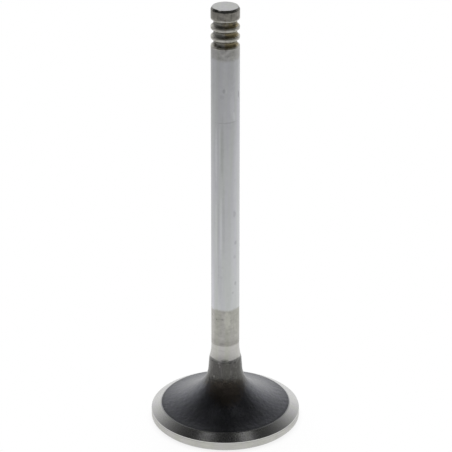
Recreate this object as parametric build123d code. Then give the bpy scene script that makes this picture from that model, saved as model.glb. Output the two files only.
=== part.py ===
from build123d import *
import os
from math import cos, hypot, radians, sin, sqrt, tan

# Poppet valve of a piston engine, forged and turned from one bar of steel.
# Millimetres. +Z runs up the stem, and the origin is the centre of the combustion
# face, so the valve stands on its head at Z = 0. Heights are measured from that face.

# Overall
overall_length = 110.0
stem_diameter = 6.97          # 7 mm class: runs in a 7.00 mm guide
head_diameter = 37.3

# Head: margin, seat face and the back of the head. Slopes are from the horizontal.
rim_chamfer = 0.65            # 45 degrees, between combustion face and margin
margin_top_height = 2.5       # top of the cylindrical margin
margin_edge_radius = 0.12     # broken edges at the top and the bottom of the margin
seat_angle = 30.0
seat_radial_width = 2.3
back_cut_angle = 20.0
back_cut_width = 0.25         # narrow ground land that ends the seat
back_angle = 10.4             # the back's long sweep sets out at this slope
fillet_angle = 43.6           # slope at which the sweep hands over to the neck fillet
neck_fillet_radius = 7.4

# Neck: turned cone under the ground stem
neck_top_height = 16.6
neck_step = 0.545             # radius of the neck's top beyond the ground stem's
neck_half_angle = 4.25        # widens downward, from the valve's axis
runout_radius = 12.5          # grinding wheel's run-out between neck and stem

# Tip: hardened end with rounded keeper grooves
tip_chamfer_height = 0.6
tip_chamfer_width = 0.34
groove_count = 3
first_groove_below_tip = 3.83
groove_pitch = 2.46
groove_section_radius = 0.96  # the groove's rounded section
groove_depth = 0.655
groove_edge_radius = 0.15     # broken edges of the lands between grooves

# Worked out from the sizes above
stem_radius = stem_diameter / 2
head_radius = head_diameter / 2
neck_top_radius = stem_radius + neck_step
neck_angle = 90 - neck_half_angle

# Two points nearer than this are the same point
same_point = 1e-4


def seat_inner_edge():
    """Radius and height where the seat face ends, towards the stem."""
    rise = seat_radial_width * tan(radians(seat_angle))
    return head_radius - seat_radial_width, margin_top_height + rise


def back_outer_edge():
    """Radius and height where the back cut ends and the long sweep of the back begins."""
    radius, height = seat_inner_edge()
    return radius - back_cut_width, height + back_cut_width * tan(radians(back_cut_angle))


def arc_run(start_slope, end_slope):
    """Way inward and up along an arc of radius 1 that steepens from one slope to the other."""
    start = radians(start_slope)
    end = radians(end_slope)
    return Vector(sin(start) - sin(end), cos(start) - cos(end))


def back_sweep_radius():
    """Radius at which the sweep and the neck fillet together end on the neck's cone."""
    off_neck = Vector(cos(radians(neck_half_angle)), sin(radians(neck_half_angle)))
    way_in = Vector(neck_top_radius, neck_top_height) - Vector(*back_outer_edge())
    fillet_way = arc_run(fillet_angle, neck_angle) * neck_fillet_radius
    return (way_in - fillet_way).dot(off_neck) / arc_run(back_angle, fillet_angle).dot(off_neck)


def stem_bottom_height():
    """Height where the parallel stem ends and the run-out begins."""
    return neck_top_height + sqrt(runout_radius**2 - (runout_radius - neck_step) ** 2)


def groove_centres():
    """Radius and height of each keeper groove's section centre, from the tip down."""
    radius = stem_radius - groove_depth + groove_section_radius
    first_height = overall_length - first_groove_below_tip
    return [(radius, first_height - index * groove_pitch) for index in range(groove_count)]


def groove_corners(vertices):
    """Corners of the section where the grooves break through the stem's surface."""
    corners = []
    for radius, height in groove_centres():
        for vertex in vertices:
            distance = hypot(vertex.X - radius, vertex.Y - height)
            if abs(distance - groove_section_radius) < same_point:
                corners.append(vertex)
    return corners


def margin_corners(vertices):
    """Corners of the section at the top and the bottom of the margin."""
    return [vertex for vertex in vertices if abs(vertex.X - head_radius) < same_point]


def outline():
    """Closed outline of half the section, from the axis round the head to the tip."""
    face_edge = (head_radius - rim_chamfer, 0)
    margin_bottom = (head_radius, rim_chamfer)
    margin_top = (head_radius, margin_top_height)
    neck_top = (neck_top_radius, neck_top_height)
    stem_bottom = (stem_radius, stem_bottom_height())
    chamfer_bottom = (stem_radius, overall_length - tip_chamfer_height)
    tip_edge = (stem_radius - tip_chamfer_width, overall_length)
    tip_centre = (0, overall_length)
    with BuildLine() as line:
        Polyline((0, 0), face_edge, margin_bottom, margin_top, seat_inner_edge(), back_outer_edge())
        sweep_start = (-cos(radians(back_angle)), sin(radians(back_angle)))
        sweep_turn = back_angle - fillet_angle
        sweep = JernArc(back_outer_edge(), sweep_start, back_sweep_radius(), sweep_turn)
        neck_fillet = JernArc(sweep @ 1, sweep % 1, neck_fillet_radius, fillet_angle - neck_angle)
        Line(neck_fillet @ 1, neck_top)
        TangentArc(stem_bottom, neck_top, tangent=(0, -1))
        Polyline(stem_bottom, chamfer_bottom, tip_edge, tip_centre, (0, 0))
    return line.line


def half_section():
    """Half of the valve's section, with its keeper grooves cut and its sharp edges broken."""
    with BuildSketch(Plane.XZ) as section:
        add(outline())
        make_face()
        with Locations(*groove_centres()):
            Circle(groove_section_radius, mode=Mode.SUBTRACT)
        fillet(groove_corners(section.vertices()), groove_edge_radius)
        fillet(margin_corners(section.vertices()), margin_edge_radius)
    return section.sketch


def valve():
    return revolve(half_section(), axis=Axis.Z)


os.makedirs("parts", exist_ok=True)
export_step(valve(), "parts/valve.step")
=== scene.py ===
import math
from collections import namedtuple

import bpy
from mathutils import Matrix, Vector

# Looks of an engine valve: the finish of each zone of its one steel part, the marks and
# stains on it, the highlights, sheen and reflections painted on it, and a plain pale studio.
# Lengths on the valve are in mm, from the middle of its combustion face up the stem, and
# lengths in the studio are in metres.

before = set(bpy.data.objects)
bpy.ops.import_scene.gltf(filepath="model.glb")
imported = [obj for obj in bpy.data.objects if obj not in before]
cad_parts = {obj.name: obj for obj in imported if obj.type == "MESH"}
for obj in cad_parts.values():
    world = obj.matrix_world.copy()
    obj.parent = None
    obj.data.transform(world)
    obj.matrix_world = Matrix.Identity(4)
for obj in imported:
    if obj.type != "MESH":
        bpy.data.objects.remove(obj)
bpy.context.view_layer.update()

MM = 0.001
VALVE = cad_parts["valve"]

# ---------------------------------------------------------------- camera
# Fitted to the outline of the valve in the photograph, 452 pixels a side.
PHOTO_SIDE = 452
FOCAL_PIXELS = 2523.6
AXIS_PIXEL = 225.32
SENSOR_WIDTH = 36.0
CAMERA_PLACE = Vector((0, -558.65, 316.72)) * MM
CAMERA_PITCH = 0.4413        # radians below the horizon
CAMERA_REACH = (0.01, 20.0)  # metres


def add_camera():
    data = bpy.data.cameras.new("camera")
    data.sensor_width = SENSOR_WIDTH
    data.lens = FOCAL_PIXELS * SENSOR_WIDTH / PHOTO_SIDE
    data.shift_x = (PHOTO_SIDE / 2 - AXIS_PIXEL) / PHOTO_SIDE
    data.clip_start, data.clip_end = CAMERA_REACH
    camera = bpy.data.objects.new("camera", data)
    camera.location = CAMERA_PLACE
    camera.rotation_euler = (math.pi / 2 - CAMERA_PITCH, 0, 0)
    bpy.context.scene.collection.objects.link(camera)
    bpy.context.scene.camera = camera


# ---------------------------------------------------------------- noise patterns
# The blobs' size in mm, how many finer layers lie over them and how strong those are, where
# in the noise the valve lies, and how far each axis is squeezed, which stretches the blobs.
EVEN = (1.0, 1.0, 1.0)
ROUND_THE_VALVE = (0.1, 0.1, 1.0)
UP_THE_VALVE = (1.0, 1.0, 0.07)
PARTLY_UP_THE_VALVE = (1.0, 1.0, 0.22)
Pattern = namedtuple("Pattern", "size detail roughness seed squeeze", defaults=(0.5, 0.0, EVEN))
NOISE_SWING = 3.0
RIPPLE = Pattern(1.6, 3.0)                       # of the edges between zones
RAGGED_EDGE = Pattern(0.6, 2.0, seed=5.0)        # of marks and stains
MOTTLE = Pattern(0.8, 4.0, seed=7.0)
CLOUD = Pattern(3.0, 2.0, seed=19.0)
STREAK = Pattern(1.1, 3.0, seed=3.0, squeeze=UP_THE_VALVE)
TINT = Pattern(1.6, 2.0, seed=11.0, squeeze=UP_THE_VALVE)
BRUSHED = Pattern(0.4, 3.0, seed=51.0, squeeze=ROUND_THE_VALVE)
SCUFFED = Pattern(0.32, 2.0, seed=13.0, squeeze=PARTLY_UP_THE_VALVE)
TURNED = Pattern(0.16, 3.0, roughness=0.7, squeeze=(0.03, 0.03, 1.0))
PITTED = Pattern(0.25, 3.0, roughness=0.6, seed=31.0)
PEEL = Pattern(1.1, 1.0, seed=23.0)
GRIME_BLOTCH = Pattern(1.3, 2.0, seed=41.0)
GRIME_FINE = Pattern(0.5, 3.0, seed=43.0)


# ---------------------------------------------------------------- node graphs
class Graph:
    """Short calls for the nodes that a material or a world is built from."""

    def __init__(self, tree):
        self.tree = tree
        tree.nodes.clear()

    def feed(self, socket, value):
        if isinstance(value, bpy.types.NodeSocket):
            self.tree.links.new(value, socket)
        elif isinstance(value, tuple) and socket.type == "RGBA":
            socket.default_value = (*value, 1)
        else:
            socket.default_value = value

    def add(self, kind, inputs=None, **settings):
        node = self.tree.nodes.new(kind)
        for name, value in settings.items():
            setattr(node, name, value)
        for name, value in (inputs or {}).items():
            self.feed(node.inputs[name], value)
        return node

    def math(self, operation, *values):
        node = self.add("ShaderNodeMath", operation=operation)
        for socket, value in zip(node.inputs, values):
            self.feed(socket, value)
        return node.outputs[0]

    def total(self, first, *others):
        for value in others:
            first = self.math("ADD", first, value)
        return first

    def product(self, first, *others):
        for value in others:
            first = self.math("MULTIPLY", first, value)
        return first

    def vector(self, operation, *values):
        node = self.add("ShaderNodeVectorMath", operation=operation)
        for socket, value in zip(node.inputs, values):
            self.feed(socket, value)
        gives_number = operation in ("LENGTH", "DISTANCE", "DOT_PRODUCT")
        return node.outputs["Value" if gives_number else "Vector"]

    def scale(self, vector, factor):
        inputs = {"Vector": vector, "Scale": factor}
        return self.add("ShaderNodeVectorMath", inputs, operation="SCALE").outputs["Vector"]

    def split(self, vector):
        node = self.add("ShaderNodeSeparateXYZ", {"Vector": vector})
        return node.outputs[0], node.outputs[1], node.outputs[2]

    def join(self, x, y, z):
        return self.add("ShaderNodeCombineXYZ", {"X": x, "Y": y, "Z": z}).outputs[0]

    def rise(self, value, low, high, start=0.0, end=1.0):
        """From start to end, smoothly, as value goes from low to high."""
        node = self.add(
            "ShaderNodeMapRange",
            {"Value": value, "From Min": low, "From Max": high, "To Min": start, "To Max": end},
            interpolation_type="SMOOTHSTEP",
        )
        return node.outputs["Result"]

    def mix(self, share, first, second):
        node = self.add("ShaderNodeMix", data_type="RGBA")
        self.feed(node.inputs[0], share)
        self.feed(node.inputs[6], first)
        self.feed(node.inputs[7], second)
        return node.outputs[2]

    def constant(self, colour):
        node = self.add("ShaderNodeRGB")
        node.outputs[0].default_value = (*colour, 1)
        return node.outputs[0]

    def noise(self, place, pattern):
        """Noise around 0, up to about 1 either way."""
        if pattern.squeeze != EVEN:
            place = self.vector("MULTIPLY", place, pattern.squeeze)
        if pattern.seed:
            place = self.vector("ADD", place, (pattern.seed,) * 3)
        node = self.add(
            "ShaderNodeTexNoise",
            {
                "Vector": place,
                "Scale": 1 / pattern.size,
                "Detail": pattern.detail,
                "Roughness": pattern.roughness,
            },
        )
        around_zero = self.math("SUBTRACT", node.outputs["Fac"], 0.5)
        return self.math("MULTIPLY", around_zero, NOISE_SWING)


# ---------------------------------------------------------------- finish
# lines is how deep the turning or grinding lines are, grain how strong the mottling.
Finish = namedtuple("Finish", "colour roughness lines grain")
TURNED_FACE = Finish((0.30, 0.30, 0.30), 0.40, 1.0, 0.3)
GROUND_RIM = Finish((0.396, 0.392, 0.378), 0.38, 0.6, 0.15)
GROUND_MARGIN = Finish((0.483, 0.476, 0.448), 0.39, 2.2, 0.3)
MARGIN_LINE = Finish((0.370, 0.365, 0.347), 0.39, 1.2, 0.3)
# A painted highlight: a pale line along the margin's top edge, just under the seat
MARGIN_EDGE_HIGHLIGHT = Finish((0.672, 0.664, 0.634), 0.39, 0.8, 0.3)
SEAT = Finish((0.50, 0.495, 0.485), 0.23, 0.4, 0.10)
BACK_CUT = Finish((0.44, 0.44, 0.44), 0.30, 0.2, 0.10)
OXIDE_EDGE = Finish((0.100, 0.102, 0.112), 0.30, 0.2, 0.8)
OXIDE = Finish((0.122, 0.124, 0.137), 0.30, 0.25, 1.0)
OXIDE_NECK = Finish((0.098, 0.095, 0.090), 0.29, 0.35, 1.4)
OXIDE_WORN = Finish((0.202, 0.199, 0.190), 0.36, 0.4, 1.8)
GROUND_BAND = Finish((0.527, 0.518, 0.486), 0.37, 0.6, 0.6)
BARE_DARK = Finish((0.404, 0.394, 0.362), 0.44, 0.5, 1.6)
BARE = Finish((0.447, 0.438, 0.406), 0.42, 0.4, 1.5)
CHROME = Finish((0.575, 0.580, 0.589), 0.37, 0.15, 0.28)
TIP_STEEL = Finish((0.452, 0.448, 0.426), 0.34, 0.3, 1.2)
GROOVE_LAND = Finish((0.550, 0.538, 0.483), 0.34, 0.3, 1.5)
TIP_TINTED = Finish((0.328, 0.314, 0.277), 0.36, 0.3, 2.2)
TIP_CHAMFER = Finish((0.20, 0.195, 0.175), 0.36, 0.2, 3.0)
TIP_FACE = Finish((0.60, 0.60, 0.59), 0.34, 0.2, 0.4)

# Each finish's lower edge, from the combustion face up: height, softness and waviness. Below
# the first is TURNED_FACE.
Zone = namedtuple("Zone", "bottom softness waviness finish")
ZONES = (
    Zone(0.02, 0.02, 0.0, GROUND_RIM),
    Zone(0.65, 0.04, 0.0, GROUND_MARGIN),
    Zone(2.05, 0.04, 0.02, MARGIN_LINE),
    Zone(2.26, 0.04, 0.02, MARGIN_EDGE_HIGHLIGHT),
    Zone(2.38, 0.02, 0.0, SEAT),
    Zone(3.828, 0.01, 0.0, BACK_CUT),
    Zone(3.919, 0.01, 0.0, OXIDE_EDGE),
    Zone(4.05, 0.05, 0.02, OXIDE),
    Zone(10.4, 1.6, 0.4, OXIDE_NECK),
    Zone(16.7, 0.35, 0.40, OXIDE_WORN),
    Zone(17.36, 0.20, 0.30, GROUND_BAND),
    Zone(21.25, 0.20, 0.12, BARE_DARK),
    Zone(22.6, 0.50, 0.50, BARE),
    Zone(31.15, 0.40, 0.35, CHROME),
    Zone(97.4, 0.60, 0.50, TIP_STEEL),
    Zone(100.15, 0.12, 0.15, GROOVE_LAND),
    Zone(107.42, 0.08, 0.06, TIP_TINTED),
    Zone(109.40, 0.06, 0.10, TIP_CHAMFER),
    Zone(109.98, 0.01, 0.0, TIP_FACE),
)


def finish_zones(g, height, ripple):
    """The base colour, and a colour that holds roughness, lines and grain, at each height."""
    colour = g.constant(TURNED_FACE.colour)
    surface = g.constant(TURNED_FACE[1:])
    for zone in ZONES:
        wavy = g.math("MULTIPLY_ADD", ripple, zone.waviness, height) if zone.waviness else height
        share = g.rise(wavy, zone.bottom - zone.softness, zone.bottom + zone.softness)
        colour = g.mix(share, colour, zone.finish.colour)
        surface = g.mix(share, surface, tuple(zone.finish[1:]))
    return colour, surface


# ---------------------------------------------------------------- marks, and painted highlights and reflections, on the surface
# A soft-edged mark or patch of painted light: degrees round the valve to the right of the
# front, height, half its width, half its length up the valve, and how much lighter or darker it is.
Mark = namedtuple("Mark", "turn height half_width half_length change")
CHROME_MARKS_AND_REFLECTIONS = (
    # The first ten, long light and dark streaks up the stem, are painted reflections; the rest are
    # spots
    Mark(-40, 53.5, 0.28, 8.0, 0.10),
    Mark(-18, 54.5, 0.28, 8.0, 0.09),
    Mark(-29, 50.0, 0.26, 11.0, -0.08),
    Mark(-7, 56.5, 0.32, 8.5, -0.08),
    Mark(-61, 37.0, 0.45, 5.0, 0.08),
    Mark(-24, 39.0, 0.55, 5.0, -0.06),
    Mark(-39, 73.0, 0.30, 7.0, 0.12),
    Mark(-23, 74.5, 0.20, 6.0, 0.08),
    Mark(-12, 74.5, 0.35, 7.5, -0.10),
    Mark(28, 86.4, 0.55, 3.0, 0.09),
    Mark(36, 83.0, 0.38, 1.1, 0.13),
    Mark(-5, 89.8, 0.32, 0.60, -0.20),
    Mark(4, 89.6, 0.22, 0.50, 0.08),
    Mark(-13, 88.3, 0.50, 0.55, -0.08),
    Mark(65, 88.3, 0.28, 0.85, -0.28),
    Mark(42, 66.2, 0.30, 0.45, -0.07),
    Mark(40, 57.3, 0.42, 0.90, -0.15),
    Mark(46, 49.5, 0.40, 0.55, -0.18),
    Mark(41, 45.7, 0.36, 0.50, -0.11),
    Mark(45, 38.4, 0.36, 0.55, -0.18),
    Mark(32, 36.0, 0.28, 0.30, -0.13),
    Mark(-12, 43.1, 0.40, 0.35, -0.06),
    Mark(-16, 40.4, 0.40, 0.40, -0.05),
)
BARE_MARKS = (
    Mark(-39, 28.55, 0.24, 0.15, -0.38),
    Mark(-12, 28.70, 0.30, 0.16, -0.28),
    Mark(-25, 28.70, 0.45, 0.10, -0.14),
    Mark(-70, 29.30, 0.35, 0.40, -0.28),
    Mark(13, 25.4, 0.32, 0.32, 0.14),
    Mark(31, 26.5, 0.28, 0.30, 0.12),
    Mark(8, 28.6, 0.80, 2.20, 0.22),
    Mark(-66, 26.5, 0.90, 5.00, 0.16),
    Mark(-27, 27.0, 0.80, 3.50, -0.06),
    Mark(-10, 21.92, 0.95, 0.13, -0.20),
    Mark(36, 21.70, 0.75, 0.11, -0.20),
    Mark(-18, 19.95, 0.90, 0.12, -0.10),
)
NECK_MARKS_AND_PAINTED_LIGHT = (
    # A painted sheen: lighter on the front of the black back
    Mark(13, 8.4, 2.60, 1.50, 0.45),
    Mark(-22, 16.7, 0.34, 0.40, 0.50),
    Mark(-19, 15.7, 0.22, 0.30, 0.40),
    # Painted highlights: lighter patches on the left side of the neck
    Mark(-80, 15.3, 1.10, 1.90, 0.42),
    Mark(-58, 15.8, 0.70, 1.20, 0.30),
    Mark(-40, 12.75, 0.20, 0.30, 1.10),
    Mark(42, 15.25, 0.32, 0.16, 0.50),
    Mark(-13, 14.4, 0.12, 1.20, 0.30),
    Mark(19, 14.4, 0.12, 1.10, 0.30),
    Mark(-1, 17.46, 1.00, 0.30, -0.35),
)
TIP_MARKS_AND_HIGHLIGHT = (
    Mark(-48, 109.75, 0.80, 0.45, -0.55),
    Mark(-24, 109.88, 0.45, 0.22, 1.60),
    # A painted highlight along the lower edge of the tip land, at the front
    Mark(0, 106.82, 2.60, 0.22, 0.50),
    Mark(-30, 108.5, 0.16, 0.70, -0.16),
    Mark(-8, 108.3, 0.20, 0.60, -0.14),
    Mark(24, 108.4, 0.22, 0.80, -0.18),
    Mark(48, 108.3, 0.20, 0.70, -0.14),
    Mark(3, 100.25, 0.32, 0.40, -0.25),
)
SCRATCH = Mark(4, 81.55, 2.6, 0.18, -0.13)
SCRATCH_TILT = 0.06
MARK_EDGE = (1.8, 0.2)       # squares of the distance where a mark begins and is full
RAGGED_SHARE = 0.7
MARKS_FROM_RADIUS = (3.0, 3.15)          # so that none reaches the tip's end face
# A painted brown sheen on the front of the black back, where it turns into the neck
FRONT_SHEEN = Mark(2, 9.6, 4.2, 2.4, 0.0)
SHEEN_BROWN = (0.130, 0.112, 0.095)


def mark_share(g, place, mark, ragged, tilt=0.0):
    """1 inside a mark and 0 outside it."""
    turn = math.radians(mark.turn)
    across = g.vector("DOT_PRODUCT", place, (math.cos(turn), math.sin(turn), 0.0))
    outward = g.vector("DOT_PRODUCT", place, (math.sin(turn), -math.cos(turn), 0.0))
    height = g.vector("DOT_PRODUCT", place, (0.0, 0.0, 1.0))
    up = g.math("SUBTRACT", g.math("MULTIPLY_ADD", across, -tilt, height), mark.height)
    wide = g.math("POWER", g.math("DIVIDE", across, mark.half_width), 2.0)
    long = g.math("POWER", g.math("DIVIDE", up, mark.half_length), 2.0)
    inside = g.rise(g.total(wide, long, ragged), *MARK_EDGE)
    return g.math("MULTIPLY", inside, g.math("GREATER_THAN", outward, 0.0))


def marks_and_painted_light(g, place, radius, ragged):
    """How much the marks, painted highlights, sheen and reflections lighten or darken each point of
    the valve's side.
    """
    share = mark_share(g, place, SCRATCH, ragged, SCRATCH_TILT)
    shade = g.math("MULTIPLY", share, SCRATCH.change)
    for mark in CHROME_MARKS_AND_REFLECTIONS + BARE_MARKS + NECK_MARKS_AND_PAINTED_LIGHT + TIP_MARKS_AND_HIGHLIGHT:
        share = mark_share(g, place, mark, ragged)
        shade = g.math("MULTIPLY_ADD", share, mark.change, shade)
    return g.math("MULTIPLY", shade, g.rise(radius, *MARKS_FROM_RADIUS))


# Old oil in the keeper grooves: dark grey to the left of the front, olive brown to the right
LOWEST_GROOVE = 101.25       # height of its middle
GROOVE_PITCH = 2.46
GROOVES_FOOT = (100.15, 100.25)
GROOVES_HEAD = (107.2, 107.3)
GRIME_FOOT, GRIME_HEAD = -0.74, 0.52     # where it ends, from the middle of each groove
GRIME_SOFTNESS = 0.12
GRIME_WAVINESS = 0.15
GRIME_TURNS_BROWN = (-1.0, 0.7)          # across the valve, from left to right
BLOTCH_WAVINESS = 1.2
GRIME_SHADE_HEIGHTS = (-0.55, 0.45)
GRIME_SHADES = (1.8, 0.8)                # lighter at its foot, darker at its head
GRIME_GREY = (0.155, 0.151, 0.137)
GRIME_BROWN = (0.15, 0.121, 0.056)
GRIME_DARK = (0.06, 0.050, 0.032)
GRIME_SHARE = 0.92
SPECKS_FROM = (0.1, 0.9)                 # of the fine noise
SPECK_SHARE = 0.7
SPOT_RAGGED_SHARE = 0.8
DRIP = Mark(0, 103.9, 0.26, 4.2, 0.0)
DRIP_SHARE = 0.25
# In these, the last number is the share of dark grime.
GRIME_SPOTS = (
    Mark(-57, 101.05, 0.50, 0.65, 0.9),
    Mark(-26, 100.75, 0.50, 0.22, 0.7),
    Mark(7, 100.95, 0.35, 0.45, 0.5),
    Mark(48, 100.80, 0.45, 0.35, 0.6),
    Mark(8, 103.30, 0.60, 0.40, 0.7),
    Mark(0, 104.25, 1.80, 0.22, 0.5),
    Mark(-24, 105.75, 0.90, 0.22, 0.6),
    Mark(6, 105.60, 0.40, 0.32, 0.4),
    Mark(47, 106.35, 0.55, 0.60, 0.9),
)
# A painted highlight: the metal right under each land is made lighter, as a pale line
LAND_EDGE_HIGHLIGHT = 1.15            # how much lighter the metal is right under each land
LAND_EDGE_HIGHLIGHT_HEIGHTS = (GRIME_HEAD - 0.1, GRIME_HEAD + 0.2)


def grime(g, place, x, height, colour):
    """The colour with the grime of the grooves over it, and a painted highlight right under each
    land.
    """
    blotch = g.noise(place, GRIME_BLOTCH)
    fine = g.noise(place, GRIME_FINE)
    above = g.math("SUBTRACT", height, LOWEST_GROOVE)
    nearest = g.math("SNAP", g.math("ADD", above, GROOVE_PITCH / 2), GROOVE_PITCH)
    off_middle = g.math("SUBTRACT", above, nearest)
    wavy = g.math("MULTIPLY_ADD", fine, GRIME_WAVINESS, off_middle)
    in_grooves = g.product(g.rise(height, *GROOVES_FOOT), g.rise(height, *GROOVES_HEAD, 1.0, 0.0))
    covered = g.product(
        in_grooves,
        g.rise(wavy, GRIME_FOOT - GRIME_SOFTNESS, GRIME_FOOT + GRIME_SOFTNESS),
        g.rise(wavy, GRIME_HEAD - GRIME_SOFTNESS, GRIME_HEAD + GRIME_SOFTNESS, 1.0, 0.0),
    )
    # Painted highlight: lighter right under each land
    land_edge_highlight = g.rise(off_middle, *LAND_EDGE_HIGHLIGHT_HEIGHTS, 1.0, LAND_EDGE_HIGHLIGHT)
    colour = g.scale(colour, g.math("POWER", land_edge_highlight, in_grooves))

    across = g.math("MULTIPLY_ADD", blotch, BLOTCH_WAVINESS, x)
    tint = g.mix(g.rise(across, *GRIME_TURNS_BROWN), GRIME_GREY, GRIME_BROWN)
    tint = g.scale(tint, g.rise(off_middle, *GRIME_SHADE_HEIGHTS, *GRIME_SHADES))
    ragged = g.math("MULTIPLY", fine, SPOT_RAGGED_SHARE)
    spots = g.rise(fine, *SPECKS_FROM, 0.0, SPECK_SHARE)
    for spot in GRIME_SPOTS:
        share = g.math("MULTIPLY", mark_share(g, place, spot, ragged), spot.change)
        spots = g.math("MAXIMUM", spots, share)
    tint = g.mix(spots, tint, GRIME_DARK)
    drip = g.math("MULTIPLY", mark_share(g, place, DRIP, ragged), DRIP_SHARE)
    share = g.math("MAXIMUM", g.math("MULTIPLY", covered, GRIME_SHARE), drip)
    return g.mix(share, colour, tint)


# ---------------------------------------------------------------- the valve's material
# How much each of these lightens or darkens the metal, as a share of its colour
MOTTLE_SHADE = 0.10
CLOUD_SHADE = 0.07
STREAK_SHADE = 0.06
LINE_SHADE = 0.05
BRUSH_SHADE = 0.06
SCUFF_SHADE = 0.6
TIP_SCUFF_SHADE = -0.16
TINTS = ((0.99, 1.01, 0.98), (1.0, 0.995, 1.035))     # faintly greenish and violet
TINTS_FROM = (-0.6, 0.6)     # of the tint noise
SCUFFS_FROM = (0.15, 0.9)    # of the scuffed noise
CLOUD_ROUGHNESS = 0.04
# Heights over which streaks and scuffs set in or end
STREAKS_FOOT = (12.0, 22.0)
NECK_SCUFFS_FOOT = (9.0, 13.0)
NECK_SCUFFS_HEAD = (16.8, 17.6)
TIP_SCUFFS_FOOT = (97.2, 97.8)
# Depths in metres
LINE_DEPTH = 4e-6
PIT_DEPTH = 8e-6
PEEL_DEPTH = 20e-6


def finish_shade(g, place, height, lines, grain, cloud, turned):
    """How light the mottling, streaks, tool lines and scuffs make each point, 1 being unchanged."""
    mottle = g.noise(place, MOTTLE)
    streak = g.noise(place, STREAK)
    brushed = g.noise(place, BRUSHED)
    scuffs = g.rise(g.noise(place, SCUFFED), *SCUFFS_FROM)
    on_stem = g.rise(height, *STREAKS_FOOT)
    on_neck = g.product(
        g.rise(height, *NECK_SCUFFS_FOOT), g.rise(height, *NECK_SCUFFS_HEAD, 1.0, 0.0)
    )
    on_tip = g.rise(height, *TIP_SCUFFS_FOOT)
    return g.total(
        1.0,
        g.product(mottle, grain, MOTTLE_SHADE),
        g.product(cloud, grain, CLOUD_SHADE),
        g.product(streak, on_stem, STREAK_SHADE),
        g.product(turned, lines, LINE_SHADE),
        g.product(brushed, lines, BRUSH_SHADE),
        g.product(scuffs, on_neck, SCUFF_SHADE),
        g.product(scuffs, on_tip, TIP_SCUFF_SHADE),
    )


def finish_bumps(g, place, lines, grain, turned):
    """The normal, bent by tool lines, fine pits and shallow waves."""
    pitted = g.noise(place, PITTED)
    peel = g.noise(place, PEEL)
    normal = None
    for depth, relief in (
        (LINE_DEPTH, g.math("MULTIPLY", turned, lines)),
        (PIT_DEPTH, g.math("MULTIPLY", pitted, grain)),
        (PEEL_DEPTH, g.math("MULTIPLY", peel, grain)),
    ):
        bump = g.add("ShaderNodeBump", {"Strength": 1.0, "Distance": depth, "Height": relief})
        if normal:
            g.feed(bump.inputs["Normal"], normal)
        normal = bump.outputs[0]
    return normal


def valve_material():
    material = bpy.data.materials.new("valve_steel_finish")
    material.use_nodes = True
    g = Graph(material.node_tree)

    place = g.scale(g.add("ShaderNodeTexCoord").outputs["Object"], 1 / MM)
    x, y, height = g.split(place)
    radius = g.vector("LENGTH", g.join(x, y, 0.0))
    along_profile = g.math("SUBTRACT", height, radius)
    cloud = g.noise(place, CLOUD)
    turned = g.noise(g.join(x, y, along_profile), TURNED)
    ragged = g.math("MULTIPLY", g.noise(place, RAGGED_EDGE), RAGGED_SHARE)

    colour, surface = finish_zones(g, height, g.noise(place, RIPPLE))
    roughness, lines, grain = g.split(surface)
    # A painted brown sheen on the front of the black back
    colour = g.mix(mark_share(g, place, FRONT_SHEEN, ragged), colour, SHEEN_BROWN)
    colour = grime(g, place, x, height, colour)
    tints = g.mix(g.rise(g.noise(place, TINT), *TINTS_FROM), *TINTS)
    shade = g.total(
        finish_shade(g, place, height, lines, grain, cloud, turned),
        marks_and_painted_light(g, place, radius, ragged),
    )
    colour = g.scale(g.vector("MULTIPLY", colour, tints), shade)
    clouded = g.math("MULTIPLY_ADD", g.math("MULTIPLY", cloud, grain), CLOUD_ROUGHNESS, roughness)
    normal = finish_bumps(g, place, lines, grain, turned)

    shader = g.add(
        "ShaderNodeBsdfPrincipled",
        {"Base Color": colour, "Metallic": 1.0, "Roughness": clouded, "Normal": normal},
    )
    output = g.add("ShaderNodeOutputMaterial")
    g.feed(output.inputs["Surface"], shader.outputs[0])
    return material


# ---------------------------------------------------------------- studio, in metres
WHITE = (1.0, 1.0, 1.0)
PAPER = (0.8, 0.8, 0.8)
FLOOR_RADIUS = 3.0
FLOOR_CORNERS = 64
FLOOR_DROP = 0.02 * MM
HEAD_RADIUS = 18.65 * MM
SHADOW_REACH = 40 * MM       # the floor is plain white to the camera beyond this
SHADOW_SHARE = 0.14          # how much of the floor's own shading shows at the valve
KEY_HEIGHT = 0.60
KEY_BEHIND = 0.15
KEY_SIDE = 0.50
KEY_POWER = 5.2

# What the metal mirrors: the floor's brightness from front to back and to the sides, the
# backdrop's as it fades upward and toward the front, and two pale strips overhead.
FLOOR_FRONT, FLOOR_BACK = 0.354, 1.013
FLOOR_FRONT_Y, FLOOR_BACK_Y = -0.39, -0.007
FLOOR_MIDDLE_X = 0.038       # where it is brightest beside the valve
FLOOR_SLANT = 0.105          # and how far that line leans as it runs back
FLOOR_HALF_SIDE = 0.357      # brightness halves this far to the side of it
WALL_LOW, WALL_HIGH = 0.0, 1.06       # sines of the elevation
WALL_LEVEL = 1.15
WALL_FRONT_LEVEL = 0.17
WALL_FRONT_Y, WALL_BACK_Y = 0.05, 0.745
ROOM_LEVEL = 0.024
STRIP_BEHIND, STRIP_HEIGHT = 0.025, 0.50     # below the key, which would hide them
STRIP_LENGTH, STRIP_WIDTH = 0.078, 0.07
Strip = namedtuple("Strip", "name x level")
STRIPS = (Strip("strip_left", -0.120, 0.46), Strip("strip_right", 0.133, 0.62))


def either(g, *rays):
    """1 where the light path is one of the named kinds of ray."""
    path = g.add("ShaderNodeLightPath").outputs
    share = path[rays[0]]
    for ray in rays[1:]:
        share = g.math("MAXIMUM", share, path[ray])
    return share


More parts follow.
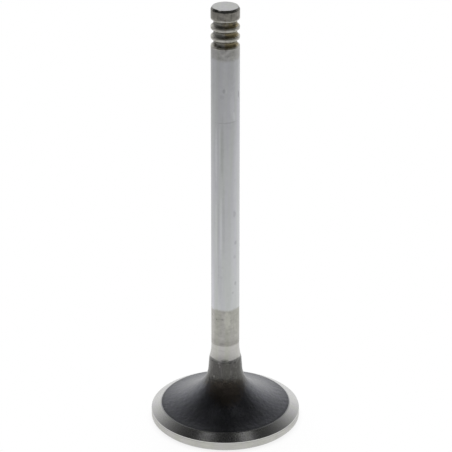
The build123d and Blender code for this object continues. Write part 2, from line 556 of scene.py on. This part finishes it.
def floor_level(g, x, y):
    """How bright the floor is to the metal."""
    along = g.add(
        "ShaderNodeMapRange",
        {
            "Value": y,
            "From Min": FLOOR_FRONT_Y,
            "From Max": FLOOR_BACK_Y,
            "To Min": FLOOR_FRONT,
            "To Max": FLOOR_BACK,
        },
    ).outputs["Result"]
    middle = g.math("MULTIPLY_ADD", y, FLOOR_SLANT, FLOOR_MIDDLE_X)
    from_middle = g.math("SUBTRACT", x, middle)
    aside = g.math("POWER", g.math("DIVIDE", from_middle, FLOOR_HALF_SIDE), 2.0)
    return g.math("DIVIDE", along, g.math("ADD", aside, 1.0))


def floor_material():
    material = bpy.data.materials.new("studio_floor")
    material.use_nodes = True
    g = Graph(material.node_tree)
    x, y, _ = g.split(g.add("ShaderNodeTexCoord").outputs["Object"])
    away = g.vector("LENGTH", g.join(x, y, 0.0))
    in_metal = either(g, "Is Glossy Ray")
    in_view = either(g, "Is Camera Ray", "Is Transmission Ray")
    bare = g.rise(away, HEAD_RADIUS, SHADOW_REACH, 1 - SHADOW_SHARE, 1.0)
    share = g.math("MAXIMUM", in_metal, g.math("MULTIPLY", in_view, bare))
    level = g.add(
        "ShaderNodeMapRange", {"Value": in_metal, "To Min": 1.0, "To Max": floor_level(g, x, y)}
    ).outputs["Result"]
    paper = g.add("ShaderNodeBsdfDiffuse", {"Color": PAPER})
    light = g.add("ShaderNodeEmission", {"Color": WHITE, "Strength": level})
    both = g.add("ShaderNodeMixShader", {"Fac": share})
    g.feed(both.inputs[1], paper.outputs[0])
    g.feed(both.inputs[2], light.outputs[0])
    output = g.add("ShaderNodeOutputMaterial")
    g.feed(output.inputs["Surface"], both.outputs[0])
    return material


def add_floor():
    bpy.ops.mesh.primitive_circle_add(
        vertices=FLOOR_CORNERS,
        radius=FLOOR_RADIUS,
        fill_type="NGON",
        location=(0, 0, -FLOOR_DROP),
    )
    floor = bpy.context.object
    floor.name = "studio_floor"
    floor.data.materials.append(floor_material())


def add_area_light(name, place, length, width, power, in_metal):
    """A lamp that shines down, unseen by the camera; in_metal is whether the metal mirrors it."""
    data = bpy.data.lights.new(name, "AREA")
    data.shape = "RECTANGLE"
    data.size = length
    data.size_y = width
    data.energy = power
    lamp = bpy.data.objects.new(name, data)
    lamp.location = place
    lamp.visible_glossy = in_metal
    lamp.visible_camera = False
    bpy.context.scene.collection.objects.link(lamp)


def add_lights():
    key_place = (0, KEY_BEHIND, KEY_HEIGHT)
    add_area_light("key_softbox", key_place, KEY_SIDE, KEY_SIDE, KEY_POWER, False)
    full_power = math.pi * STRIP_LENGTH * STRIP_WIDTH
    for strip in STRIPS:
        place = (strip.x, STRIP_BEHIND, STRIP_HEIGHT)
        power = full_power * strip.level
        add_area_light(strip.name, place, STRIP_LENGTH, STRIP_WIDTH, power, True)


def set_world():
    """A white backdrop low behind the valve, which fades to a dark ceiling and room."""
    world = bpy.data.worlds.new("studio")
    world.use_nodes = True
    bpy.context.scene.world = world
    g = Graph(world.node_tree)
    _, y, up = g.split(g.add("ShaderNodeTexCoord").outputs["Generated"])
    wall = g.rise(up, WALL_LOW, WALL_HIGH, WALL_LEVEL, 0.0)
    behind = g.rise(y, WALL_FRONT_Y, WALL_BACK_Y, WALL_FRONT_LEVEL, 1.0)
    level = g.math("MULTIPLY_ADD", wall, behind, ROOM_LEVEL)
    strength = g.math("MAXIMUM", either(g, "Is Camera Ray"), level)
    background = g.add("ShaderNodeBackground", {"Color": WHITE, "Strength": strength})
    output = g.add("ShaderNodeOutputWorld")
    g.feed(output.inputs["Surface"], background.outputs[0])


def main():
    add_camera()
    add_floor()
    add_lights()
    set_world()
    material = valve_material()
    for slot in VALVE.material_slots:
        slot.material = material
    bpy.context.scene.view_settings.view_transform = "Standard"


main()
